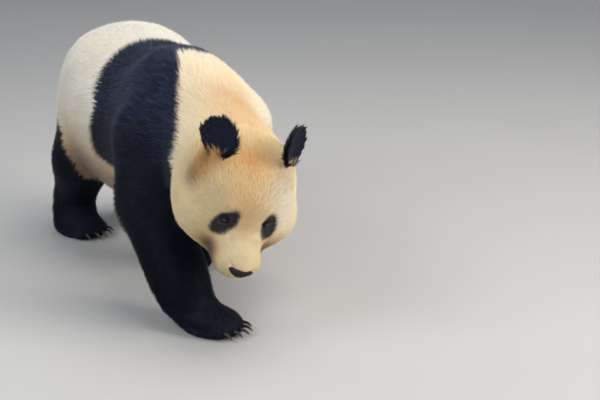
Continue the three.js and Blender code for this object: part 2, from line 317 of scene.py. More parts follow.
# ---------------------------------------------------------------- markings, with painted shade and light
# All take points at rest, in metres. The dark patch round each eye, across and up in the head's
# frame: its middle, its lean, and half its width and its height.
PATCH = {
    "right": ((0.0560, 0.0275), math.radians(33), (0.0212, 0.0490)),
    "left": ((0.0660, 0.0225), math.radians(14), (0.0222, 0.0420)),
}
PATCH_REAR = -0.02  # the patches lie ahead of this plane of the head's frame
PATCH_BLACK = 0.955  # how black they are: a little grey, as painted sheen on their short hair
EDGE = 0.003  # how softly black passes into cream
# The black band across the shoulders, in the body's frame: where each of its edges stands, and
# the height or the place at which the edge starts to slant.
NECK_SIDE = 0.196
NAPE_EDGE, NAPE_BEND = -0.545, 0.449
LEFT_EDGE, LEFT_LOW, LEFT_HIGH = -0.275, 0.48, 0.58
REAR_EDGE, REAR_BEND = 0.015, 0.485
CHEST_EDGE, CHEST_BEND = 0.338, -0.10
CHEST_ROUNDING = 0.09
# The black of the hind legs: its front edge and its top.
THIGH_FRONT = {"right": 0.253, "left": 0.108}
THIGH_BEND, THIGH_TOP, RUMP_BEND, KNEE = 0.252, 0.372, 0.47, 0.205
# The lowest black on each ear at EAR_MIDDLE from the head's midline: it comes lower further out.
EAR_LOW = {"right": 0.142, "left": 0.094}
EAR_MIDDLE = 0.100
FLANK = (1, 0.42, 0.75)  # the stretch of the spots on the flank
# Darker spots: those at the crease behind the muzzle, at the edge of the jaw and on the low flank
# are painted shade; the others darken the coat below the right ear and on the muzzle.
SHADE_AND_DARK_SPOTS = {
    "both sides": (
        (0.66, (0.078, -0.078, -0.054), 0.021, DEEP),  # the crease behind the muzzle
        (0.78, (0.058, -0.088, -0.088), 0.030, DEEP),  # the edge of the jaw
    ),
    "head": (
        (0.40, (-0.120, 0.028, 0.098), 0.022, ROUND),  # below the right ear
        (0.55, (-0.142, 0.006, 0.050), 0.030, ROUND),
        (0.22, (-0.020, -0.155, -0.045), 0.055, ROUND),  # the muzzle
    ),
    "body": ((0.60, (-0.225, 0.056, 0.196), 0.080, FLANK),),
}
STAINS = {
    "both sides": ((0.95, (0.078, -0.078, -0.054), 0.034, DEEP),),  # the crease
    "head": (
        (0.95, (-0.008, 0.010, 0.145), 0.058, WIDE),  # the crown
        (0.22, (0.095, -0.020, 0.120), 0.030, ROUND),
        (1.50, (-0.118, 0.022, 0.118), 0.038, ROUND),  # the root of the right ear, and below it
        (0.95, (-0.134, 0.014, 0.080), 0.032, ROUND),
        (0.50, (-0.015, -0.085, 0.085), 0.060, WIDE),  # the brow
        (0.22, (0, -0.130, 0.030), 0.032, ROUND),  # the bridge of the nose
        (0.28, (-0.120, -0.010, 0.020), 0.060, ROUND),  # the right cheek
    ),
    "body": (
        (0.82, (0.060, -0.310, 0.590), 0.095, DEEP),  # the nape
        (0.45, (-0.225, 0.058, 0.215), 0.090, FLANK),
    ),
}
# Spots where the pale coat is less cream: the two on the left temple and forehead are painted
# light, where light falls on that side of the head; the third is on the muzzle.
PALER_AND_LIT = {
    "head": (
        (0.80, (0.096, -0.078, 0.032), 0.064, ROUND),  # the left temple: painted light
        (0.75, (0.082, -0.040, 0.098), 0.048, ROUND),
        (0.20, (0.010, -0.165, -0.030), 0.050, ROUND),  # the muzzle
    ),
}
UNDERSIDE = 0.20  # the height at which the belly's dirt, and the painted shade low on the body, are full


def saddle(points):
    """Metres inside the black band that crosses the shoulders."""
    x, y, z = body_space(points).T
    side_of_neck = 0.94 * np.abs(x) + 0.152 * y + 0.30 * z - NECK_SIDE
    top_of_neck = (y - NAPE_EDGE - 1.41 * np.maximum(0, z - NAPE_BEND)) / 1.73
    front = np.maximum(side_of_neck, top_of_neck)
    slant = 1.4 * np.maximum(0, LEFT_LOW - z) - 0.6 * np.maximum(0, z - LEFT_HIGH)
    left_front = (y - LEFT_EDGE + slant) / 1.4
    front = front + (left_front - front) * smooth_step(0, 0.08, x)
    rear = (REAR_EDGE + 0.78 * np.maximum(0, z - REAR_BEND) - y) / 1.27
    bottom = z - CHEST_EDGE + 0.5 * np.maximum(0, CHEST_BEND - y)
    return smaller(np.minimum(front, rear), bottom, CHEST_ROUNDING)


def thigh(points, side):
    """Metres inside the black of a hind leg."""
    _, y, z = body_space(points).T
    behind = 0.8 * (y - THIGH_FRONT[side] - 0.75 * np.maximum(0, z - THIGH_BEND))
    top = THIGH_TOP - z - 0.5 * np.maximum(0, y - RUMP_BEND)
    return smaller(np.maximum(behind, KNEE - z), top, 0.05)


def ear_black(points):
    """Metres inside the black of an ear."""
    x, _, z = to_head(points).T
    low = np.where(x < 0, EAR_LOW["right"], EAR_LOW["left"])
    return z - low + 1.3 * np.maximum(0, np.abs(x) - EAR_MIDDLE)


def eye_patch(points):
    """Metres inside the dark patch round either eye, roughly."""
    x, y, z = to_head(points).T
    inside = np.full(len(x), -1.0)
    for side, way in (("right", -1), ("left", 1)):
        (across, rise), turn, (half_width, half_height) = PATCH[side]
        u = (x * way - across) * math.cos(turn) + (z - rise) * math.sin(turn)
        v = (z - rise) * math.cos(turn) - (x * way - across) * math.sin(turn)
        oval = 1 - np.sqrt((u / half_width) ** 2 + (v / half_height) ** 2)
        inside = np.maximum(inside, oval * half_width)
    return np.where(y < PATCH_REAR, inside, -1)


def mouth_gap(points):
    """Metres from the line of the mouth, on the sides and front of the muzzle."""
    x, y, z = to_head(points).T
    line = -0.086 + 0.1 * (y + 0.120)
    return np.where((y < -0.060) & (np.abs(x) < 0.075), np.abs(z - line), 1)


def lips(points):
    """Up to 1 on the bare lips, along the mouth."""
    return 0.8 * smooth_step(0.0030, 0.0012, mouth_gap(points))


def darkness(points, node):
    """1 where the coat is black, and darker where shade is painted. node holds the name of the
    solid nearest to each point.
    """
    face = np.isin(node, FACE)
    patch = eye_patch(points)
    inside = np.where(face, patch, np.maximum(saddle(points), patch))
    inside = np.where(np.char.startswith(node, "ear"), ear_black(points), inside)
    for side in SIDES:
        inside = np.where(node == "hindleg_" + side, thigh(points, side), inside)
    for limb in ("foreleg", "forepaw", "hindpaw"):
        inside = np.where(np.char.startswith(node, limb), 1, inside)
    black = smooth_step(-EDGE, EDGE, inside) * np.where(face, PATCH_BLACK, 1)
    # dusky holds painted shade at the crease, the jaw's edge and the low flank, the darker spots by
    # the right ear and on the muzzle, and a darkening towards the ground that is partly the belly's
    # dirt and partly painted shade.
    dusky = spots(points, SHADE_AND_DARK_SPOTS) + 0.28 * underside(points, 0.38)
    return np.maximum(black, dusky)


def underside(points, top):
    """0 to 1: how near a point behind the head is to the ground, from a height down."""
    behind = to_head(points)[:, 1] > 0.1
    return smooth_step(top, UNDERSIDE, body_space(points)[:, 2]) * behind


def staining(points):
    """0 to 1: how tan the pale coat is."""
    return np.clip(spots(points, STAINS) + 0.45 * underside(points, 0.36), 0, 1)


def warmth(points):
    """0 on the white body and 1 on the creamier head, with less on the neck and low down, and less
    again where light is painted on the head's left side and on the neck's far side.
    """
    x, y, z = body_space(points).T
    # The far side of the neck is whiter still: painted rim light.
    neck = (0.42 + 0.28 * smooth_step(0.09, 0.16, x)) * smooth_step(-0.62, -0.50, y)
    ahead = smooth_step(-0.10, -0.36, y) * np.clip(1 - neck - spots(points, PALER_AND_LIT), 0, 1)
    low = 0.8 * smooth_step(0.48, 0.26, z) * (y > -0.36)
    return np.maximum(ahead, low)


# ---------------------------------------------------------------- the skin
class Skin:
    """The skin's arrays, shared by the pieces that are built on it."""

    points = normals = triangles = None  # vertices, their normals and the faces
    node = None  # the name of the solid nearest to each vertex
    depth = None  # how far each vertex lies under the tips of the coat
    net = None  # the Net of the skin's mesh


FLESH = [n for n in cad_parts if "claw" not in n and not n.startswith("eye")]
# Depth of the coat in metres, by the start of the node's name.
COAT_DEPTH = {
    "trunk": 0.0145, "shoulders": 0.0135, "neck": 0.0135, "head": 0.009, "jaw": 0.007,
    "nose": 0.004, "ear": 0.003, "foreleg": 0.011, "hindleg": 0.0115, "forepaw": 0.007,
    "hindpaw": 0.007, "tail": 0.014,
}
EAR_RIM = 0.006  # how far the ear's skin stops short of the tips at its rim
FLOOR_GAP = 0.0015  # nothing of the skin or the coat comes nearer to the floor
SWELL = 0.0006  # how far the solids are swollen, so that each meets the next
NODE_SPREAD = 10  # rounds that blend the coat's depth from node to node
NAPE_ROUNDS, SOCKET_ROUNDS = 130, 90  # more smoothing behind the head and round the eyes
EYE_AREA = 0.022  # radius of the area round an eye
EYE_SET_BACK = 0.0035
ROOT_SINK = 0.0015  # how far the roots of the tufts stand in the skin
TUFTS_PER_CLUMP = 7


def by_node(table, names):
    """A value of the table for each node name, found by how the name starts."""
    value = {n: table[next(k for k in table if n.startswith(k))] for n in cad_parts
             if any(n.startswith(k) for k in table)}
    return np.array([value[n] for n in names])


def near_eyes(points, radius):
    """Up to 1 round either eye."""
    return sum(bump_at(points, EYE[side], radius) for side in SIDES)


def joined_flesh():
    """The flesh nodes as one soup of triangles."""
    points, triangles, names = [], [], []
    for name in FLESH:
        work = bmesh.new()
        work.from_mesh(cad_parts[name].data)
        bmesh.ops.remove_doubles(work, verts=work.verts, dist=1e-5)
        mesh = bpy.data.meshes.new("work")
        work.to_mesh(mesh)
        work.free()
        offset = sum(map(len, points))
        points.append(vertices_of(mesh) + normals_of(mesh) * SWELL)
        found = triangles_of(mesh)
        triangles.append(found + offset)
        names += [name] * len(found)
        bpy.data.meshes.remove(mesh)
    return np.concatenate(points), np.concatenate(triangles), np.array(names)


def ear_shrink(points, node):
    """How far an ear's skin moves in from the rim of its coat."""
    moved = np.zeros_like(points)
    for side in SIDES:
        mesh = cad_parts["ear_" + side].data
        solid = vertices_of(mesh)
        middle = solid.mean(0)
        _, size, axes = np.linalg.svd(solid - middle, full_matrices=False)
        plane = axes[:2]
        here = node == "ear_" + side
        flat = (points[here] - middle) @ plane.T
        reach = np.abs((solid - middle) @ plane.T).max()
        radius = np.linalg.norm(flat, axis=1, keepdims=True)
        outer = smooth_step(0.085, 0.115, np.abs(to_head(points[here])[:, :1]))
        shrink = EAR_RIM * (0.1 + outer) * (radius / reach) ** 2
        moved[here] = -(flat / np.maximum(radius, 1e-6)) @ plane * shrink
    return moved


def build_skin(settings):
    points, triangles, names = joined_flesh()
    tree = BVHTree.FromPolygons(points.tolist(), triangles.tolist())
    rough = bpy.data.objects.new("rough", mesh_from("rough", points, triangles))
    bpy.context.scene.collection.objects.link(rough)
    remesh = rough.modifiers.new("remesh", "REMESH")
    remesh.mode, remesh.voxel_size = "VOXEL", settings.voxel
    graph = bpy.context.evaluated_depsgraph_get()
    mesh = bpy.data.meshes.new_from_object(rough.evaluated_get(graph))
    bpy.data.objects.remove(rough)

    work = bmesh.new()
    work.from_mesh(mesh)
    keep = Net(mesh).largest()
    bmesh.ops.delete(work, geom=[v for v, k in zip(work.verts, keep) if not k], context="VERTS")
    head_edges = [e for e in work.edges if all(in_face(v.co) for v in e.verts)]
    bmesh.ops.subdivide_edges(work, edges=head_edges, cuts=1, use_grid_fill=True)
    work.to_mesh(mesh)
    work.free()

    net = Net(mesh)
    at = vertices_of(mesh)
    node = np.array([names[tree.find_nearest(p)[2]] for p in at.tolist()])
    body = np.isin(node, ("trunk", "shoulders", "neck"))
    ear = np.char.startswith(node, "ear")
    share = net.spread(np.where(body, 0.5, np.where(ear, 0.0, 0.25)), 8) * ~ear
    at = net.spread(at, settings.smoothing, share)
    nape = net.spread(np.char.startswith(node, "head").astype(float), 14)
    behind = (to_head(at)[:, 1] > -0.03) * ~ear
    at = net.spread(at, NAPE_ROUNDS, 2.0 * nape * (1 - nape) * behind)
    at = net.spread(at, SOCKET_ROUNDS, 0.5 * smooth_step(0.12, 0.5, near_eyes(at, EYE_AREA)))

    depth = net.spread(coat_depth(at, node), NODE_SPREAD)
    at += net.spread(ear_shrink(at, node), 2)
    for _ in range(3):
        set_points(mesh, at)
        normals = net.spread(normals_of(mesh), 2)
        at = at - unit(normals) * (depth / 3)[:, None]
        at = net.spread(at, 1, 0.3 * ~ear)
    at = face_forms(at, unit(normals))
    at[:, 2] = np.maximum(at[:, 2], FLOOR_GAP)
    set_points(mesh, at)
    mesh.polygons.foreach_set("use_smooth", np.ones(len(mesh.polygons), bool))
    Skin.points, Skin.normals, Skin.triangles = at, normals_of(mesh), triangles_of(mesh)
    Skin.node, Skin.depth, Skin.net = node, depth, net
    outside = at + Skin.normals * depth[:, None]
    short = smooth_step(0.010, 0.004, depth)
    set_attribute(mesh, "dark", np.maximum(darkness(outside, node), lips(at)))
    set_attribute(mesh, "stain", staining(outside))
    set_attribute(mesh, "warm", warmth(outside))
    # Painted shade under the coat: the skin takes the roots' darker tan, less so where the coat is
    # shallow; on the ears its low tip also keeps the painted blue sheen off.
    set_attribute(mesh, "tip", (0.15 + 0.7 * short) * np.where(ear, 0.35, 1))
    set_attribute(mesh, "tone", np.full(len(at), 0.5))
    mesh.materials.clear()
    return mesh


def set_points(mesh, points):
    mesh.vertices.foreach_set("co", np.asarray(points, np.float32).ravel())
    mesh.update()


FINE_LOW, FINE_HIGH = (-0.14, -1.0, -0.13), (0.14, 0.0, 0.11)  # in the head's frame


def in_face(point):
    """True on the front of the head, where the skin needs a finer mesh."""
    place = to_head(np.array(point)[None])[0]
    return (place > FINE_LOW).all() and (place < FINE_HIGH).all()


def coat_depth(points, node):
    """Depth of the coat in metres: shallow on the muzzle and where the paws meet the floor."""
    depth = by_node(COAT_DEPTH, node)
    head = to_head(points)
    muzzle = smooth_step(-0.070, -0.150, head[:, 1]) * np.isin(node, FACE)
    depth = depth + (0.0035 - depth) * muzzle
    depth = depth + (0.0030 - depth) * np.clip(near_eyes(points, 0.026), 0, 1)
    return depth * (0.08 + 0.92 * smooth_step(0.0, 0.030, points[:, 2]))


# How far the face is pushed out, in metres.
FACE_FORMS = {
    "both sides": (
        (0.0045, (0.050, -0.105, 0.072), 0.020, ROUND),  # brow
        (-0.0060, (0.034, -0.130, 0.008), 0.018, ROUND),  # beside the bridge
        (-0.0080, (0.066, -0.134, -0.044), 0.020, ROUND),  # behind the muzzle
        (0.0050, (0.036, -0.175, -0.045), 0.024, ROUND),  # whisker pad
        (0.0030, (0.100, -0.080, -0.030), 0.034, ROUND),  # cheek
        (-0.0030, (0.0, -0.120, 0.055), 0.018, (1, 1, 0.6)),  # forehead
    ),
}
FRONT_OF_FACE = -0.15  # the mouth's middle and the nose pad lie ahead of this in the head's frame


def face_forms(points, normals):
    """Forms of the face: brow, hollows, muzzle and cheeks, then the mouth and the sockets."""
    head = to_head(points)
    front = head[:, 1] < FRONT_OF_FACE
    push = spots(points, FACE_FORMS)
    push -= 0.0060 * np.exp(-((mouth_gap(points) / 0.0040) ** 2))
    philtrum = np.exp(-((head[:, 0] / 0.0030) ** 2)) * smooth_step(-0.058, -0.066, head[:, 2])
    push -= 0.0030 * philtrum * front
    under_pad = np.abs(from_pad(head) / NOSE_HALF)[:, (0, 2)].max(1)
    push -= 0.0050 * smooth_step(1.0, 0.7, under_pad) * front
    points = points + normals * (push * (head[:, 1] < 0.03))[:, None]
    for side in SIDES:
        points = around_eye(points, side)
    return points


def eye_place(side):
    """The middle of an eyeball, set back from the solid's."""
    return EYE[side] - gaze(side) * EYE_SET_BACK


def around_eye(points, side):
    """Lays the skin against the eyelids, and keeps it behind their opening."""
    radius = bpy.context.scene.panda_face.eye_radius
    away = points - eye_place(side)
    reach = np.linalg.norm(away, axis=1, keepdims=True)
    off = np.arccos(np.clip((away / reach) @ gaze(side), -1, 1))[:, None]
    sunk = radius * 0.80 + (radius * 0.32) * smooth_step(0.65, 1.05, off)
    near = smooth_step(radius * 2.1, radius * 1.25, reach) * smooth_step(1.9, 1.3, off)
    return points + away / reach * (sunk - reach) * near


# ---------------------------------------------------------------- the coat
# By the start of the node's name: length, width and how densely the tufts stand, each as a
# share of the flank's.
COAT = {
    "trunk": (1.0, 1.0, 1.0), "shoulders": (0.88, 0.95, 1.05), "neck": (0.85, 0.85, 1.5),
    "head": (0.66, 0.72, 3.0), "jaw": (0.42, 0.55, 3.0), "nose": (0.40, 0.55, 3.0),
    "ear": (0.55, 0.70, 4.0), "foreleg": (0.78, 0.9, 1.15), "hindleg": (0.80, 0.9, 1.05),
    "forepaw": (0.42, 0.8, 1.5), "hindpaw": (0.42, 0.8, 1.4), "tail": (0.9, 1.0, 1.3),
}
COAT_PIECES = {
    "coat_head_right": FACE, "coat_head_left": FACE,
    "coat_ears": ("ear",), "coat_neck": ("neck",),
    "coat_shoulders_right": ("shoulders",), "coat_shoulders_left": ("shoulders",),
    "coat_trunk_right": ("trunk", "tail"), "coat_trunk_left": ("trunk", "tail"),
    "coat_foreleg_right": ("foreleg_right", "forepaw_right"),
    "coat_foreleg_left": ("foreleg_left", "forepaw_left"),
    "coat_hindleg_right": ("hindleg_right", "hindpaw_right"),
    "coat_hindleg_left": ("hindleg_left", "hindpaw_left"),
}
PATCH_UV = 0.003  # side of a tuft's patch on the coat's unwrap
SOFTNESS = 0.68  # how far a tuft is shaded as the skin below it
SWAY = ((0.20, 38, 1), (0.12, 110, 2))  # radians, fineness and seed of the ripples in its lie
STRAY = 0.14  # radians by which a tuft strays from its neighbours
LENGTH_SPREAD = 0.22
WIDTHS = (0.7, 1.25)  # the narrowest and the widest tufts, as shares
RISES = (0.55, 1.10)  # how high the tips stand, as shares of the coat's depth
MARK_JITTER, STAIN_JITTER = 0.0024, 0.008  # metres by which tufts blur the edges of markings
SOLE = 0.006  # no hair grows on what faces down below this height
# A tuft is three points round its root, and a tip.
TUFT_ROOT = np.array([(0.0, 0.9), (-1.0, -0.45), (1.0, -0.45)])
TUFT_FACES = np.array([(0, 1, 2), (1, 0, 3), (2, 1, 3), (0, 2, 3)])
TUFT_UV = np.array([(0, -0.5), (-0.5, -0.5), (0.5, -0.5), (0, 0.5)])


def lie_of_coat(points, node):
    """Which way the coat lies at each vertex, before it is combed along the skin."""
    way = np.zeros_like(points)
    names = {n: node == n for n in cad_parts}
    way[names["trunk"]] = (0, 1, -0.45)
    way[names["shoulders"]] = (0, 1, -0.40)
    way[names["neck"]] = (0, 1, -0.35)
    way[names["tail"]] = (0, 0.2, -1)
    for name in FACE:
        way[names[name]] = unit(points[names[name]] - NOSE)
    for side in SIDES:
        root = centre("ear_" + side) * 0.5 + from_head((0, 0.03, 0.06)) * 0.5
        here = names["ear_" + side]
        way[here] = unit(points[here] - root)
    for leg in ("foreleg", "hindleg"):
        for side in SIDES:
            name = f"{leg}_{side}"
            down = unit(centre(name.replace("leg", "paw")) - centre(name))
            low = smooth_step(0.34, 0.14, points[names[name], 2])[:, None]
            way[names[name]] = unit((0, 1, -0.45) + (down - (0, 1, -0.45)) * low)
    for paw in PAWS:
        toes = np.mean([centre(c) for c in claws_of(paw)], 0)
        way[names[paw]] = unit(toes - centre(paw)) + (0, 0, -0.6)
    for side in SIDES:
        near = bump_at(points, EYE[side], EYE_AREA)[:, None]
        way = way * (1 - near) + unit(points - EYE[side]) * near
    return way


def claws_of(paw):
    return [n for n in sorted(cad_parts) if n.startswith(paw.replace("paw", "claw"))]


def combed(way, rounds=14):
    """The lie of the coat, spread over the skin and laid flat on it."""
    for _ in range(rounds):
        way = Skin.net.spread(way, 2)
        way = unit(way - Skin.normals * (way * Skin.normals).sum(1, keepdims=True))
    return way


def sown_roots(count, density, draw):
    """Roots spread over the skin: the triangle and the place in it of each."""
    corners = Skin.points[Skin.triangles]
    area = np.linalg.norm(np.cross(corners[:, 1] - corners[:, 0], corners[:, 2] - corners[:, 0]),
                          axis=1) / 2
    weight = np.cumsum(area * density[Skin.triangles].mean(1))
    wanted = (np.arange(count) + draw.random(count)) / count * weight[-1]
    face = np.minimum(np.searchsorted(weight, wanted), len(weight) - 1)
    u, v = draw.random((2, count))
    over = u + v > 1
    u[over], v[over] = 1 - u[over], 1 - v[over]
    return face, np.stack([1 - u - v, u, v], 1)


def turned_about(vectors, axes, angle):
    """Vectors turned about unit axes at right angles to them."""
    c, s = np.cos(angle)[:, None], np.sin(angle)[:, None]
    return vectors * c + np.cross(axes, vectors) * s


def ripple(points, scale, seed):
    """Smooth noise, about -1 to 1, made of a few waves."""
    draw = np.random.default_rng(seed)
    total = np.zeros(len(points))
    for _ in range(6):
        total += np.sin(points @ (draw.normal(size=3) * scale) + draw.random() * math.tau)
    return total / 3


class Tufts:
    """All tufts of the coat, as arrays with a row for each tuft."""

    def __init__(self, settings, seed=7):
        draw = np.random.default_rng(seed)
        table = by_node(COAT, Skin.node)
        length, width, density = table.T
        face, share = sown_roots(settings.tufts, density * self.bare_places(), draw)
        corner = Skin.triangles[face]

        def at_roots(values):
            values = values.reshape(len(values), -1)
            found = (values[corner] * share[:, :, None]).sum(1)
            return found.ravel() if found.shape[1] == 1 else found

        count = len(face)
        self.node = Skin.node[corner[np.arange(count), share.argmax(1)]]
        self.on_ear = np.char.startswith(self.node, "ear")
        self.short = np.isin(self.node, FACE) | self.on_ear
        self.root = at_roots(Skin.points)
        self.normal = unit(at_roots(Skin.normals))
        way = unit(at_roots(combed(lie_of_coat(Skin.points, Skin.node))))
        sway = sum(far * ripple(self.root, scale, seed) for far, scale, seed in SWAY)
        way = turned_about(way, self.normal, sway + draw.normal(0, STRAY, count))
        muzzle, lids = self.face_like()
        long = at_roots(Skin.net.spread(length, 6)) * settings.length * (1 + self.fringe())
        long = long * (1 - 0.66 * muzzle) * (1 - 0.6 * lids) * (1 + 0.7 * self.puffed())
        self.length = long * (1 + LENGTH_SPREAD * draw.normal(0, 1, count)).clip(0.5, 1.5)
        self.width = at_roots(Skin.net.spread(width, 6)) * settings.width
        self.width *= (1 - 0.15 * muzzle) * (1 - 0.3 * lids) * draw.uniform(*WIDTHS, count)
        depth = at_roots(Skin.depth)
        rise = np.clip(depth * draw.uniform(*RISES, count) / self.length, 0.05, 0.85)
        rise = np.clip(rise * (1 + 0.9 * self.puffed()) + 0.5 * self.ear_rim(), 0, 0.8)
        self.shape(way, rise)
        self.tone = draw.random(count)
        self.clump(settings.clumping * np.where(self.on_ear, 2.0, 1 - 0.25 * self.short), draw)
        along = self.root + (self.tip - self.root) * 0.55
        outside = along + self.normal * (depth * 0.35)[:, None]
        self.dark = darkness(outside + draw.normal(0, MARK_JITTER, (count, 3)), self.node)
        self.stain = staining(outside + draw.normal(0, STAIN_JITTER, (count, 3)))
        self.warm = warmth(outside)
        # Painted shade: the black coat's tone, and with it the painted blue sheen on its tips,
        # fades towards the ground below 0.58 m; the ears keep less of it.
        low = smooth_step(0.58, 0.30, outside[:, 2])
        self.tone *= (1 - 0.8 * self.dark * low) * (1 - 0.35 * self.on_ear)

    def face_like(self):
        """How far each tuft belongs to the short hair of the muzzle, and to that of the lids."""
        head = to_head(self.root)
        muzzle = smooth_step(-0.040, -0.170, head[:, 1]) * self.short
        return muzzle, np.clip(near_eyes(self.root, 0.024), 0, 1)

    def bare_places(self):
        """0 where no hair grows: the soles, the nose, the lips and the eyes."""
        keep = np.ones(len(Skin.points))
        keep[(Skin.points[:, 2] < SOLE) & (Skin.normals[:, 2] < -0.5)] = 0
        keep[(np.abs(from_pad(to_head(Skin.points)) / NOSE_HALF) < (0.93, 2.0, 0.90)).all(1)] = 0
        keep *= 1 - 0.9 * lips(Skin.points)
        for side in SIDES:
            away = Skin.points - eye_place(side)
            off = np.arccos(np.clip(unit(away) @ gaze(side), -1, 1))
            keep[(off < 0.72) & (np.linalg.norm(away, axis=1) < 0.018)] = 0
        muzzle = smooth_step(-0.060, -0.150, to_head(Skin.points)[:, 1])
        return keep * (1 + 0.9 * muzzle * np.isin(Skin.node, FACE))

    def puffed(self):
        """Where the cheeks' hair stands out from the face."""
        return 0.45 * bump_at(mirrored(to_head(self.root)), (0.115, -0.082, -0.045), 0.040)

    def ear_rim(self):
        """1 round the rim of each ear, where the hair stands out."""
        rim = np.zeros(len(self.root))
        for side in SIDES:
            away = np.linalg.norm(self.root - centre("ear_" + side), axis=1)
            rim += smooth_step(0.044, 0.055, away) * (self.node == "ear_" + side)
        return rim

    def fringe(self):
        """Where the hair is longer: belly, forelegs, cheeks and the ears' edge by the crown."""
        _, y, z = body_space(self.root).T
        head = to_head(self.root)
        belly = smooth_step(0.32, 0.22, z) * (self.node == "trunk")
        elbow = np.char.startswith(self.node, "foreleg") * smooth_step(0.12, 0.30, z)
        cheek = smooth_step(-0.05, 0.05, head[:, 1]) * np.isin(self.node, ("head", "jaw"))
        crownward = smooth_step(0.105, 0.075, np.abs(head[:, 0])) * self.on_ear
        return belly * 0.5 + elbow * 0.3 + cheek * 0.7 + crownward * 0.6

    def shape(self, way, rise):
        """The tip of each tuft: it leans along the coat and rises a little from the skin."""
        rise = rise[:, None]
        self.root = self.root - self.normal * ROOT_SINK
        self.root[:, 2] = np.maximum(self.root[:, 2], FLOOR_GAP)
        lean = way * np.sqrt(1 - rise**2) + self.normal * rise
        self.tip = self.root + lean * self.length[:, None]
        self.flat = unit(np.cross(way, self.normal))

    def clump(self, share, draw):
        """Draws neighbouring tufts together at their tips, and gives them a common tone."""
        count = len(self.root)
        few = np.where(self.on_ear, 0.14, np.where(self.short, 0.36, 1.0))
        leaders = draw.choice(count, count // TUFTS_PER_CLUMP, replace=False, p=few / few.sum())
        tree = KDTree(len(leaders))
        for i, place in enumerate(self.root[leaders].tolist()):
            tree.insert(place, i)
        tree.balance()
        lead = leaders[[tree.find(p)[1] for p in self.root.tolist()]]
        near = np.linalg.norm(self.tip[lead] - self.tip, axis=1)
        pull = share * draw.uniform(0.4, 1.3, count) * smooth_step(0.030, 0.012, near)
        self.tip = self.tip + (self.tip[lead] - self.tip) * pull[:, None]
        self.tip[:, 2] = np.maximum(self.tip[:, 2], FLOOR_GAP)
        self.tone = 0.35 * self.tone + 0.65 * self.tone[lead]

    def mesh(self, name, pick):
        """The picked tufts as one mesh, with the unwrap and the coat's attributes."""
        half = self.width[pick, None] / 2
        across, over = self.flat[pick] * half, self.normal[pick] * half * 0.5
        points = [self.root[pick] + across * a + over * b for a, b in TUFT_ROOT]
        points = np.stack(points + [self.tip[pick]], 1)
        count, each = points.shape[:2]
        triangles = (TUFT_FACES[None] + np.arange(count)[:, None, None] * each).reshape(-1, 3)
        mesh = mesh_from(name, points.reshape(-1, 3), triangles)
        self.unwrap(mesh, pick, triangles)
        for label in ("dark", "stain", "warm", "tone"):
            set_attribute(mesh, label, np.repeat(getattr(self, label)[pick], each))
        set_attribute(mesh, "tip", np.tile([0, 0, 0, 1], count))
        soft = np.repeat(self.normal[pick], each, 0) * SOFTNESS
        soft += normals_of(mesh) * (1 - SOFTNESS)
        mesh.normals_split_custom_set_from_vertices(unit(soft))
        return mesh

    def unwrap(self, mesh, pick, triangles):
        """Lays each tuft's patch at its root's place, with the piece rolled out round its axis."""
        root = self.root[pick]
        middle = root.mean(0)
        some = (root - middle)[:: max(1, len(root) // 4000)]
        axes = np.linalg.svd(some, full_matrices=False)[2]
        long, wide, thick = ((root - middle) @ axes.T).T
        place = np.stack([
            np.arctan2(thick, wide) / math.tau + 0.5,
            (long - long.min()) / np.ptp(long),
        ], 1) * (1 - 2 * PATCH_UV) + PATCH_UV
        places = (place[:, None] + TUFT_UV[None] * PATCH_UV).reshape(-1, 2)
        layer = mesh.uv_layers.new(name="OFBake")
        layer.data.foreach_set("uv", places[triangles.ravel()].astype(np.float32).ravel())


# ---------------------------------------------------------------- finishes
class Wire:
    """An output of a shader node. Sums on it add Math nodes, and node() adds any other."""

    def __init__(self, tree, socket=None):
        self.tree, self.socket = tree, socket

    def node(self, kind, inputs, output=0, stops=None, **settings):
        made = self.tree.nodes.new(kind)
        for name, value in settings.items():
            setattr(made, name, value)
        if stops:
            ramp = made.color_ramp.elements
            for element, (place, colour) in zip(list(ramp) + [None] * len(stops), stops):
                element = element or ramp.new(place)
                element.position, element.color = place, (*colour, 1)
        for name, value in inputs.items():
            if isinstance(value, Wire):
                self.tree.links.new(value.socket, made.inputs[name])
            else:
                made.inputs[name].default_value = value
        return Wire(self.tree, made.outputs[output] if made.outputs else None)

    def math(self, operation, *values):
        return self.node("ShaderNodeMath", dict(enumerate(values)), operation=operation)

    def mix(self, other, share, blend="MIX"):
        """This colour, and another over it by a share."""
        values = {0: share, 6: self, 7: other}
        return self.node("ShaderNodeMix", values, 2, data_type="RGBA", blend_type=blend)

    def __add__(self, other):
        return self.math("ADD", self, other)

    def __sub__(self, other):
        return self.math("SUBTRACT", self, other)

    def __rsub__(self, other):
        return self.math("SUBTRACT", other, self)

    def __mul__(self, other):
        return self.math("MULTIPLY", self, other)

    def __pow__(self, other):
        return self.math("POWER", self, other)

    __radd__, __rmul__ = __add__, __mul__


def material(name, build, **constants):
    """A Principled material. build takes the tree's wire and gives what varies, by socket."""
    made = bpy.data.materials.new(name)
    made.use_nodes = True
    tree = made.node_tree
    shader = next(n for n in tree.nodes if n.type == "BSDF_PRINCIPLED")
    for socket, value in constants.items():
        shader.inputs[socket.replace("_", " ")].default_value = value
    for socket, value in build(Wire(tree)).items():
        tree.links.new(value.socket, shader.inputs[socket])
    return made


def noise(tree, scale, detail=2.0, where=None):
    where = where or tree.node("ShaderNodeTexCoord", {}, "Object")
    return tree.node("ShaderNodeTexNoise", {"Vector": where, "Scale": scale, "Detail": detail})


def attribute(tree, name):
    return tree.node("ShaderNodeAttribute", {}, "Fac", attribute_name=name)


def colour(values):
    return (*values, 1)


def blend(tree, share, first, second):
    """From one colour to another by a share."""
    values = {0: share, 6: colour(first), 7: colour(second)}
    return tree.node("ShaderNodeMix", values, 2, data_type="RGBA")


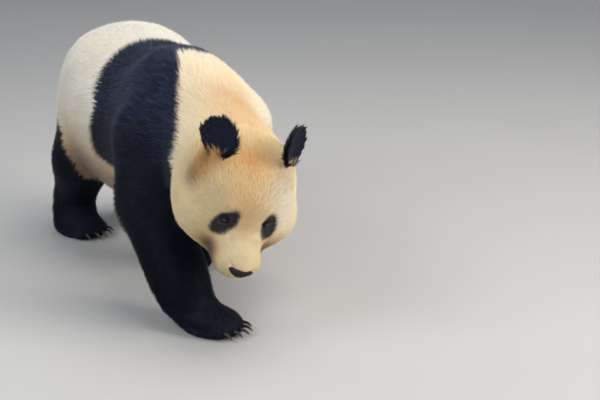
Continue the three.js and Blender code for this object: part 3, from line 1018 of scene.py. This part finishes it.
def bumped(tree, height, strength, distance):
    """The normal of a surface with small relief."""
    values = {"Height": height, "Strength": strength, "Distance": distance}
    return tree.node("ShaderNodeBump", values, "Normal")


# Tans that show at the roots, on the duller tufts and in patches of the pale coat; the roots' tan
# is partly stain and partly painted shade down in the coat.
ROOT_TAN_AND_SHADE, DULL_TAN, PATCH_TAN = (0.60, 0.44, 0.24), (0.58, 0.44, 0.25), (0.66, 0.52, 0.32)
# The black coat's blue tips are painted sheen, the sky's light on the black hair; its brown tips
# are its own colour.
SHEEN_BLUE_TIP, BROWN_TIP = (0.043, 0.061, 0.138), (0.020, 0.014, 0.012)  # tips of the black coat


def coat_colours(tree, coat):
    """The coat's colour: white to cream with tan stains and with tan roots that are partly painted
    shade, and black with painted blue sheen on its tips.
    """
    dark, stain, warm = attribute(tree, "dark"), attribute(tree, "stain"), attribute(tree, "warm")
    tone, tip = attribute(tree, "tone"), attribute(tree, "tip")
    patchy = noise(tree, 7.0, 3.0)
    pale = blend(tree, warm, coat.white, coat.cream)
    pale = pale.mix(colour(ROOT_TAN_AND_SHADE), (1 - tip) * 0.55)
    pale = pale.mix(colour(DULL_TAN), (1 - tone) * (0.18 + 0.30 * warm))
    pale = pale.mix(colour(PATCH_TAN), (patchy - 0.45) * 0.6)
    pale = pale.mix(colour(coat.stain), stain * (0.52 + 0.5 * patchy))
    blackish = blend(tree, tip * tone**2, coat.black, SHEEN_BLUE_TIP)
    blackish = blackish.mix(colour(BROWN_TIP), (patchy - 0.52) * 1.4 * tip)
    return pale.mix(blackish, dark)


COAT_SHEEN = {"Sheen_Weight": 0.07, "Sheen_Roughness": 0.4, "Sheen_Tint": (0.72, 0.80, 1.0, 1)}


def coat_material(coat):
    def build(tree):
        return {"Base Color": coat_colours(tree, coat)}
    return material("panda_coat", build, **COAT_SHEEN, Roughness=0.6, Specular_IOR_Level=0.14)


def skin_material(coat):
    def build(tree):
        bump = bumped(tree, noise(tree, 520.0, 3.0), 0.6, 0.0015)
        return {"Base Color": coat_colours(tree, coat), "Normal": bump}
    return material("panda_skin", build, **COAT_SHEEN, Roughness=0.8, Specular_IOR_Level=0.10)


def leather_material():
    def build(tree):
        where = tree.node("ShaderNodeTexCoord", {}, "Object")
        pebbles = tree.node("ShaderNodeTexVoronoi", {"Vector": where, "Scale": 620.0}, "Distance")
        bump = bumped(tree, pebbles, 0.45, 0.0012)
        base = blend(tree, noise(tree, 90.0), (0.005, 0.004, 0.005), (0.012, 0.010, 0.011))
        return {"Base Color": base, "Normal": bump, "Roughness": 0.34 + 0.25 * noise(tree, 160.0)}
    return material("panda_nose_leather", build, Specular_IOR_Level=0.2)


def lid_material():
    def build(tree):
        wrinkles = noise(tree, 500.0, 3.0)
        bump = bumped(tree, wrinkles, 0.5, 0.001)
        base = blend(tree, wrinkles, (0.009, 0.008, 0.010), (0.015, 0.014, 0.016))
        return {"Base Color": base, "Normal": bump}
    return material("panda_lid", build, Roughness=0.7, Specular_IOR_Level=0.1)


BLACK, WHITE = (0, 0, 0), (1, 1, 1)
# Where the iris shows, from the middle of the pupil to the rim.
IRIS_STOPS = [(0.0, BLACK), (0.36, BLACK), (0.42, WHITE), (0.80, WHITE), (0.95, BLACK)]


def eye_material():
    def build(tree):
        ring = attribute(tree, "ring")
        iris = blend(tree, noise(tree, 900.0, 4.0), (0.008, 0.005, 0.004), (0.018, 0.010, 0.007))
        shown = tree.node("ShaderNodeValToRGB", {"Fac": ring}, "Color", stops=IRIS_STOPS)
        return {"Base Color": iris.mix(colour((0.004, 0.003, 0.003)), 1 - shown)}
    return material("panda_eye", build, Roughness=0.16, Coat_Weight=0.28, Coat_Roughness=0.06)


def horn_material():
    def build(tree):
        along = attribute(tree, "along")
        streaks = noise(tree, 300.0, 3.0)
        base = blend(tree, along, (0.009, 0.008, 0.008), (0.038, 0.032, 0.028))
        base = base.mix(colour((0.020, 0.017, 0.016)), (streaks - 0.4) * 0.8)
        return {"Base Color": base, "Normal": bumped(tree, streaks, 0.3, 0.0006)}
    return material("panda_horn", build, Roughness=0.5)


# ---------------------------------------------------------------- small pieces
def grid_triangles(rows, columns, closed=True):
    """Two triangles for each cell of a grid whose rows are rings."""
    faces = []
    for r in range(rows - 1):
        for c in range(columns if closed else columns - 1):
            d = (c + 1) % columns
            a, b = r * columns, (r + 1) * columns
            faces += [(a + c, a + d, b + d), (a + c, b + d, b + c)]
    return np.array(faces)


def dome(radius, start, end, rows, columns):
    """Rings of points about +Z, from one angle off it to another."""
    angle = np.linspace(start, end, rows)[:, None]
    turn = np.arange(columns)[None] * math.tau / columns
    points = np.stack([np.sin(angle) * np.cos(turn), np.sin(angle) * np.sin(turn),
                       np.cos(angle) * np.ones_like(turn)], -1)
    return points.reshape(-1, 3) * radius


GAZE = (0.75, -1.0, 0.22)  # the left eye's, in the head's frame


def gaze(side):
    """Which way an eye looks: ahead, out to its side and a little up."""
    across = 1 if side == "left" else -1
    return unit(np.array(GAZE) * (across, 1, 1) @ HEAD_AXES)


def looking(points, place, forward):
    """Points round +Z, turned so that +Z looks forward from a place, with +Y to the crown."""
    side = unit(np.cross(HEAD_AXES[2], forward))
    above = np.cross(forward, side)
    return points @ np.array([side, above, forward]) + place


def eyeball_mesh(name, side, radius):
    rows, columns = 28, 40
    points = dome(radius, 0.001, math.pi - 0.001, rows, columns)
    off_axis = np.hypot(points[:, 0], points[:, 1])
    cornea = 0.10 * radius * np.exp(-((off_axis / (0.55 * radius)) ** 2))
    points[:, 2] += np.where(points[:, 2] > 0, cornea, 0)
    ring = np.where(points[:, 2] > 0, off_axis / (0.62 * radius), 1)
    points = looking(points, eye_place(side), gaze(side))
    mesh = mesh_from(name, points, closed_ball(rows, columns))
    set_attribute(mesh, "ring", np.clip(ring, 0, 1))
    return mesh


def closed_ball(rows, columns):
    """The triangles of stacked rings, with both ends closed by a fan."""
    last = (rows - 1) * columns
    caps = [(0, c, c + 1) for c in range(1, columns - 1)]
    caps += [(last, last + c + 1, last + c) for c in range(1, columns - 1)]
    sides = grid_triangles(rows, columns)[:, ::-1]
    return np.concatenate([sides, np.array(caps)])


# The opening of the lids: half its width, half its height above and below, the run of its inner
# corner and its tilt, all in radians round the eyeball.
LID_WIDE, LID_ABOVE, LID_BELOW, LID_CORNER, LID_TILT = 0.58, 0.25, 0.29, 0.14, 0.16
LID_REAR = 1.75  # where the lid ends, off the axis
LID_FOLD = 0.0007  # depth of the fold over the eye


def lid_mesh(name, side, radius, thickness):
    """A shell over the eyeball with an almond opening, its edge rolled and its rear sunk in."""
    columns, rows = 72, 14
    turn = np.arange(columns) * math.tau / columns
    inner = math.pi if side == "left" else 0.0  # the turn of the corner by the nose
    from_inner = np.cos(turn - inner)
    rise = np.sin(turn)
    half_high = np.where(rise > 0, LID_ABOVE, LID_BELOW)
    edge = 1 / np.sqrt((np.cos(turn) / LID_WIDE) ** 2 + (rise / half_high) ** 2)
    edge = edge + LID_CORNER * np.maximum(from_inner, 0) ** 10
    points = []
    for angle, reach in lid_rings(edge, radius, thickness, rise, rows):
        around = [np.sin(angle) * np.cos(turn), np.sin(angle) * rise, np.cos(angle)]
        points.append(np.stack(around, -1) * np.broadcast_to(reach, angle.shape)[:, None])
    tilt = -LID_TILT if side == "left" else LID_TILT
    points = turned_about(np.concatenate(points), np.array([[0.0, 0.0, 1.0]]), np.array([tilt]))
    faces = grid_triangles(rows + 2, columns)
    return mesh_from(name, looking(points, eye_place(side), gaze(side)), faces[:, ::-1])


def lid_rings(edge, radius, thickness, rise, rows):
    """The angle off the axis and the reach of each ring of a lid, from inside its edge outwards."""
    rings = [(edge + 0.35, radius * 0.97), (edge + 0.02, radius * 0.995)]
    thick = thickness * (1 + 0.35 * np.maximum(rise, 0))
    for r in range(rows):
        t = r / (rows - 1)
        lift = thick * (1 - (1 - min(1, 4.0 * t)) ** 2)
        fold = LID_FOLD * math.exp(-(((t - 0.34) / 0.07) ** 2)) * np.maximum(rise, 0.25)
        sunk = 0.006 * max(0, t - 0.55)
        rings.append((edge + (LID_REAR - edge) * t, radius * 1.01 + lift - fold - sunk))
    return rings


def nose_mesh(name):
    """The nose pad: broad above and narrow below, with a nostril on each side."""
    rows, columns = 64, 96
    ball = dome(1.0, 0.02, math.pi - 0.02, rows, columns)
    x, z, y = ball[:, 0], ball[:, 1], -ball[:, 2]
    x, z = x * (0.86 + 0.14 * np.abs(x) ** 2), z * (1 - 0.30 * np.abs(x) ** 3)
    narrow = 0.72 + 0.28 * smooth_step(-0.9, 0.35, z)
    points = np.stack([x * narrow, y, z], 1) * NOSE_HALF
    dip = (1 - np.abs(x) ** 2) * smooth_step(0.1, 0.9, z)  # in the upper edge
    points[:, 2] -= 0.0060 * dip
    points[:, 2] += 0.0045 * np.abs(x) ** 3  # the ends turn up
    points[:, 1] += 0.0055 * np.abs(x) ** 2.2  # the pad wraps back at the sides
    points[:, 1] += np.where(z > 0, 0.0015, 0.0045) * z**2
    front = np.clip(-y, 0, 1)
    apart, height = np.abs(x) - 0.46, z + 0.12
    slant = height - 0.55 * apart
    nostril = np.exp(-((apart / 0.17) ** 2 + (slant / 0.24) ** 2))
    slit = np.exp(-(((np.abs(x) - 0.76) / 0.18) ** 2 + ((z + 0.16) / 0.09) ** 2))
    wing = np.exp(-(((np.abs(x) - 0.62) / 0.30) ** 2 + ((z + 0.50) / 0.20) ** 2))
    groove = np.exp(-((x / 0.055) ** 2)) * smooth_step(0.25, -0.25, z)
    points[:, 1] += front * (0.0105 * nostril + 0.0040 * slit - 0.0016 * wing + 0.0026 * groove)
    points = from_head(points @ PAD_AXES + NOSE_PAD)
    return mesh_from(name, points, closed_ball(rows, columns)[:, ::-1])


CLAW_RADIUS, CLAW_TIP = 0.0046, 0.0004  # at the root, and what is left of it at the point
CLAW_ROOT = 0.006  # how far a claw is set into its toe
CLAW_CURVE = 0.0045  # how far it arches


def claw_mesh(name, paw):
    """The claws of one paw: each curves down from its toe to a blunt point."""
    columns, rows = 12, 14
    points, faces, along = [], [], []
    for claw in claws_of(paw):
        solid = vertices_of(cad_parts[claw].data)
        ahead = unit((centre(claw) - centre(paw)) * (1, 1, 0))
        reach = solid @ ahead
        tip = solid[reach.argmax()]
        root = solid[reach < reach.min() + 0.001].mean(0)
        length = np.linalg.norm(tip - root)
        out = unit(tip - root)
        side = unit(np.cross(out, UP))
        over = np.cross(side, out)
        for r in range(rows):
            t = r / (rows - 1)
            radius = CLAW_RADIUS * math.sqrt(max(0.0, 1 - t**1.7)) + CLAW_TIP
            middle = root - out * CLAW_ROOT + out * (length + 0.005) * t
            middle = middle + over * CLAW_CURVE * math.sin(math.pi * t)
            for c in range(columns):
                turn = c * math.tau / columns
                rim = side * radius * 0.75 * math.cos(turn) + over * radius * math.sin(turn)
                points.append(middle + rim)
                along.append(t)
        faces.append(closed_ball(rows, columns) + len(faces) * rows * columns)
    mesh = mesh_from(name, np.array(points), np.concatenate(faces))
    set_attribute(mesh, "along", along)
    return mesh


def orient(mesh):
    """Turns the faces of a closed mesh outwards."""
    work = bmesh.new()
    work.from_mesh(mesh)
    bmesh.ops.recalc_face_normals(work, faces=work.faces)
    work.to_mesh(mesh)
    work.free()
    return mesh


# ---------------------------------------------------------------- operators
class PANDA_OT_skin(bpy.types.Operator):
    """Makes the one skin that stands for all nodes of flesh"""

    bl_idname = "panda.skin"
    bl_label = "Skin"

    def execute(self, context):
        mesh = build_skin(context.scene.panda_skin)
        finish = skin_material(context.scene.panda_coat)
        piece("skin", mesh, finish, [n for n in FLESH if n != "nose"])
        return {"FINISHED"}


class PANDA_OT_eyes(bpy.types.Operator):
    """Makes the eyeballs and the lids round them"""

    bl_idname = "panda.eyes"
    bl_label = "Eyes and lids"

    def execute(self, context):
        face = context.scene.panda_face
        wet, lid = eye_material(), lid_material()
        for side in SIDES:
            name = "eyeball_" + side
            ball = orient(eyeball_mesh(name, side, face.eye_radius))
            piece(name, ball, wet, ["eye_" + side])
            name = "eyelids_" + side
            shell = lid_mesh(name, side, face.eye_radius, face.lid)
            piece(name, shell, lid, [])
        return {"FINISHED"}


class PANDA_OT_nose(bpy.types.Operator):
    """Makes the nose pad with its nostrils"""

    bl_idname = "panda.nose"
    bl_label = "Nose"

    def execute(self, context):
        mesh = orient(nose_mesh("nose_pad"))
        piece("nose_pad", mesh, leather_material(), ["nose"])
        return {"FINISHED"}


class PANDA_OT_claws(bpy.types.Operator):
    """Makes the claws of the four paws"""

    bl_idname = "panda.claws"
    bl_label = "Claws"

    def execute(self, context):
        horn = horn_material()
        for paw in PAWS:
            name = paw.replace("paw", "claws")
            piece(name, orient(claw_mesh(name, paw)), horn, claws_of(paw))
        return {"FINISHED"}


class PANDA_OT_coat(bpy.types.Operator):
    """Covers the skin with tufts, in pieces by part of the body"""

    bl_idname = "panda.coat"
    bl_label = "Coat"

    def execute(self, context):
        if Skin.points is None:
            raise RuntimeError("make the skin before the coat")
        coat = context.scene.panda_coat
        finish = coat_material(coat)
        tufts = Tufts(coat)
        for name, nodes in COAT_PIECES.items():
            pick = np.array([n.startswith(nodes) for n in tufts.node])
            if name.startswith("coat_head"):
                left = to_head(tufts.root)[:, 0] > 0
            else:
                left = tufts.root[:, 0] > BODY_ORIGIN[0]
            if name.endswith(("_right", "_left")) and "leg" not in name:
                pick &= left == name.endswith("_left")
            slot = "black_coat" if tufts.dark[pick].mean() > 0.5 else "white_coat"
            print(name, int(pick.sum()), "tufts")
            piece(name, tufts.mesh(name, pick), finish, [])
        return {"FINISHED"}


class PANDA_OT_stage(bpy.types.Operator):
    """Sets the floor, the lights and the camera"""

    bl_idname = "panda.stage"
    bl_label = "Stage"

    def execute(self, context):
        build_stage(context.scene.panda_stage)
        return {"FINISHED"}


AIM = BODY_ORIGIN + (0.1480, -0.7048, 0.3755)  # the point in the middle of the view
FLOOR_REACH = 14.0
SENSOR = 36.0  # width of the camera's sensor in millimetres
SKY, SKY_STRENGTH = (0.82, 0.90, 1.0), 0.42
# Square lights, all turned to one point: place, size, watts and tint.
LIGHTS = {
    "key": ((1.0, -0.2, 3.9), 3.0, 112, (1.0, 0.97, 0.92)),
    "fill": ((-3.3, -1.35, 2.9), 2.6, 122, (0.92, 0.96, 1.0)),
    "front": ((3.1, -3.3, 2.3), 2.0, 176, (1.0, 0.95, 0.87)),
}
LIT = Vector((0.0, -0.2, 0.35))


def build_stage(stage):
    floor_mesh = bpy.data.meshes.new("floor")
    signs = ((-1, -1), (1, -1), (1, 1), (-1, 1))
    corners = [(x * FLOOR_REACH, y * FLOOR_REACH, 0) for x, y in signs]
    floor_mesh.from_pydata(corners, [], [(0, 1, 2, 3)])
    floor = bpy.data.objects.new("floor", floor_mesh)
    bpy.context.scene.collection.objects.link(floor)

    def build(tree):
        base = blend(tree, noise(tree, 1.5), (0.40, 0.39, 0.38), (0.43, 0.42, 0.41))
        return {"Base Color": base}
    floor_mesh.materials.append(material("floor_paint", build, Roughness=0.7))

    scene = bpy.context.scene
    world = bpy.data.worlds.new("studio")
    world.use_nodes = True
    background = world.node_tree.nodes["Background"]
    background.inputs["Color"].default_value = colour(SKY)
    background.inputs["Strength"].default_value = SKY_STRENGTH
    scene.world = world
    scene.view_settings.view_transform = "Standard"

    level, rise = math.cos(stage.elevation), math.sin(stage.elevation)
    back = np.array([math.sin(stage.azimuth) * level, -math.cos(stage.azimuth) * level, rise])
    camera = bpy.data.cameras.new("camera")
    camera.lens = stage.lens
    camera.sensor_width = SENSOR
    seat = bpy.data.objects.new("camera", camera)
    seat.location = AIM + back * stage.distance
    seat.rotation_mode = "QUATERNION"
    seat.rotation_quaternion = Vector(-back).to_track_quat("-Z", "Y")
    scene.collection.objects.link(seat)
    scene.camera = seat

    for name, (place, size, power, tint) in LIGHTS.items():
        light = bpy.data.lights.new(name, "AREA")
        light.shape, light.size, light.energy, light.color = "SQUARE", size, power, tint
        lamp = bpy.data.objects.new(name, light)
        lamp.location = place
        lamp.rotation_euler = (LIT - Vector(place)).to_track_quat("-Z", "Y").to_euler()
        scene.collection.objects.link(lamp)


class PANDA_PT_panel(bpy.types.Panel):
    """Shows the panda's settings and the buttons that build its pieces"""

    bl_label = "Panda"
    bl_idname = "PANDA_PT_panel"
    bl_space_type = "VIEW_3D"
    bl_region_type = "UI"
    bl_category = "Panda"

    def draw(self, context):
        for name, group in GROUPS.items():
            box = self.layout.box()
            settings = getattr(context.scene, name)
            for prop in group.__annotations__:
                box.prop(settings, prop)
        for operator in OPERATORS:
            self.layout.operator(operator.bl_idname)


GROUPS = {
    "panda_skin": PandaSkin, "panda_coat": PandaCoat,
    "panda_face": PandaFace, "panda_stage": PandaStage,
}
OPERATORS = (
    PANDA_OT_stage, PANDA_OT_skin, PANDA_OT_eyes, PANDA_OT_nose, PANDA_OT_claws, PANDA_OT_coat,
)
CLASSES = (*GROUPS.values(), *OPERATORS, PANDA_PT_panel)


def register():
    for made in CLASSES:
        bpy.utils.register_class(made)
    for name, group in GROUPS.items():
        setattr(bpy.types.Scene, name, PointerProperty(type=group))


def unregister():
    for name in GROUPS:
        delattr(bpy.types.Scene, name)
    for made in reversed(CLASSES):
        bpy.utils.unregister_class(made)


def main():
    register()
    for operator in OPERATORS:
        getattr(bpy.ops.panda, operator.bl_idname.split(".")[1])()


if __name__ == "__main__":
    main()
